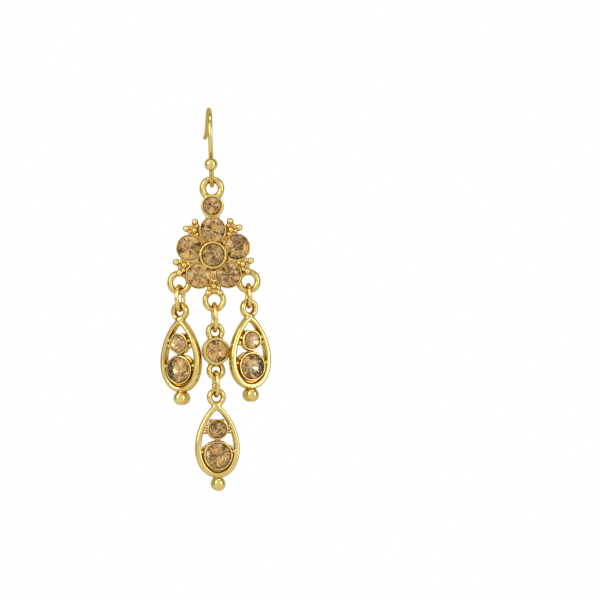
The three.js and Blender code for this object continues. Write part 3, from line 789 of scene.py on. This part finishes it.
stone_jobs = [("stone_top", TOP_STONE, TOP_RIM, TOP_CROWN, (0, 0, -TOP_SETTING_DROP), 11)]
for petal, rim in enumerate(PETAL_RIMS):
    at_x, at_z = petal_place(petal)
    spot = (at_x, 0, -CLUSTER_DROP + at_z)
    stone_jobs.append((f"stone_petal_{petal + 1}", PETAL_STONE, rim, CROWN, spot, 17 * petal))
stone_jobs.append(("stone_centre", CENTRE_STONE, CENTRE_RIM, CENTRE_CROWN, (0, 0, -CLUSTER_DROP), 5))
for node, radius, rim, crown, spot, spin in stone_jobs:
    place = np.array(spot) + (0, swing_y, swing_z)
    chaton(node.replace("stone", "chaton"), node, radius, rim, crown, place, 0.0, math.radians(spin))

place = hung(np.array([[0, 0, CONNECTOR_AT]]), connector_loop, CONNECTOR_TURN)[0]
chaton("chaton_connector", "stone_connector", CONNECTOR_STONE, CONNECTOR_RIM, CROWN, place,
       CONNECTOR_TURN, CONNECTOR_SPIN)

drop_stones = (("small", SMALL_STONE, SMALL_RIM, SMALL_AT), ("large", LARGE_STONE, LARGE_RIM, LARGE_AT))
for side, turn in DROP_TURNS.items():
    for size, radius, rim, at in drop_stones:
        place = drop_loops[side] + (0, 0, at)
        chaton(f"chaton_{side}_{size}", f"stone_{side}_{size}", radius, rim, CROWN, place,
               math.radians(turn), DROP_SPIN)


# ------------------------------------------------------------------------------------------------
# Studio: a long lens square to the earring's face, a pale floor well below it, a soft light on each
# side, a strip above, and a room brightest behind the camera and darkest in a warm band at the sides.
EYE = (14.76, swing_z - 20.0)
EYE_DISTANCE = 900.0
VIEW_WIDTH = 103.2
VIEW_ROLL = math.radians(1.2)

lens = bpy.data.cameras.new("camera")
lens.sensor_width = 36.0
lens.lens = 36.0 * EYE_DISTANCE / VIEW_WIDTH
lens.clip_start, lens.clip_end = 0.05, 20.0
camera = bpy.data.objects.new("camera", lens)
camera.location = (EYE[0] * MM, -EYE_DISTANCE * MM, EYE[1] * MM)
camera.rotation_euler = (math.radians(90), VIEW_ROLL, 0)
bpy.context.scene.collection.objects.link(camera)
bpy.context.scene.camera = camera
bpy.context.scene.view_settings.view_transform = "Standard"

# The floor and the lights are placed in metres.
FLOOR_GAP, FLOOR_REACH = 0.110, 1.3
floor_z = cad_low.z - FLOOR_GAP
floor_mesh = bpy.data.meshes.new("floor")
floor_corners = [
    (FLOOR_REACH * x, FLOOR_REACH * y, floor_z) for x, y in ((-1, -1), (1, -1), (1, 1), (-1, 1))]
floor_mesh.from_pydata(floor_corners, [], [(0, 1, 2, 3)])
floor = bpy.data.objects.new("floor", floor_mesh)
bpy.context.scene.collection.objects.link(floor)
paper = bpy.data.materials.new("white_paper")
paper.use_nodes = True
paper.node_tree.nodes["Principled BSDF"].inputs["Base Color"].default_value = (0.93, 0.93, 0.92, 1)
paper.node_tree.nodes["Principled BSDF"].inputs["Roughness"].default_value = 0.9
floor_mesh.materials.append(paper)

room = bpy.data.worlds.new("room")
bpy.context.scene.world = room
room.use_nodes = True
room_nodes, room_links = room.node_tree.nodes, room.node_tree.links
room_nodes.clear()
room_out = room_nodes.new("ShaderNodeOutputWorld")
room_seen = room_nodes.new("ShaderNodeBackground")
room_seen.inputs["Color"].default_value = (1.0, 1.0, 1.0, 1)
room_seen.inputs["Strength"].default_value = 1.0
room_lit = room_nodes.new("ShaderNodeBackground")
room_lit.inputs["Strength"].default_value = 1.0
room_ways = room_nodes.new("ShaderNodeTexCoord")
room_split = room_nodes.new("ShaderNodeSeparateXYZ")
room_links.new(room_ways.outputs["Generated"], room_split.inputs[0])
room_ramp = room_nodes.new("ShaderNodeValToRGB")
ramp = room_ramp.color_ramp
ramp.elements[0].position, ramp.elements[0].color = 0.0, (0.95, 0.94, 0.91, 1)
ramp.elements[1].position, ramp.elements[1].color = 1.0, (0.74, 0.73, 0.70, 1)
for spot, red, green, blue in (
    (0.08, 0.74, 0.73, 0.70), (0.20, 0.88, 0.87, 0.84), (0.40, 0.44, 0.41, 0.35),
    (0.55, 0.24, 0.20, 0.13), (0.74, 0.60, 0.58, 0.54),
):
    ramp.elements.new(spot).color = (red, green, blue, 1)
room_map = room_nodes.new("ShaderNodeMapRange")
room_map.inputs["From Min"].default_value = -1.0
room_map.inputs["From Max"].default_value = 0.9
room_links.new(room_split.outputs["Y"], room_map.inputs["Value"])
room_links.new(room_map.outputs[0], room_ramp.inputs[0])
room_links.new(room_ramp.outputs[0], room_lit.inputs["Color"])
room_path = room_nodes.new("ShaderNodeLightPath")
room_mix = room_nodes.new("ShaderNodeMixShader")
room_links.new(room_path.outputs["Is Camera Ray"], room_mix.inputs[0])
room_links.new(room_lit.outputs[0], room_mix.inputs[1])
room_links.new(room_seen.outputs[0], room_mix.inputs[2])
room_links.new(room_mix.outputs[0], room_out.inputs["Surface"])


EARRING_MIDDLE = -0.032


def soft_light(name, place, size, watts):
    """A rectangular soft box at place, turned to face the middle of the earring."""
    light = bpy.data.lights.new(name, "AREA")
    light.shape = "RECTANGLE"
    light.size, light.size_y = size
    light.energy = watts
    lamp = bpy.data.objects.new(name, light)
    lamp.location = place
    aim = np.array([0.0, 0.0, EARRING_MIDDLE]) - np.array(place)
    yaw = math.atan2(aim[1], aim[0])
    pitch = math.atan2(aim[2], math.hypot(aim[0], aim[1]))
    lamp.rotation_euler = (math.radians(90) + pitch, 0, yaw - math.radians(90))
    bpy.context.scene.collection.objects.link(lamp)


soft_light("left_box", (-0.45, -0.40, 0.25), (0.30, 0.45), 1.5)
soft_light("right_box", (0.50, -0.35, 0.10), (0.20, 0.45), 0.8)
soft_light("top_strip", (0.0, -0.10, 0.55), (0.50, 0.20), 0.6)
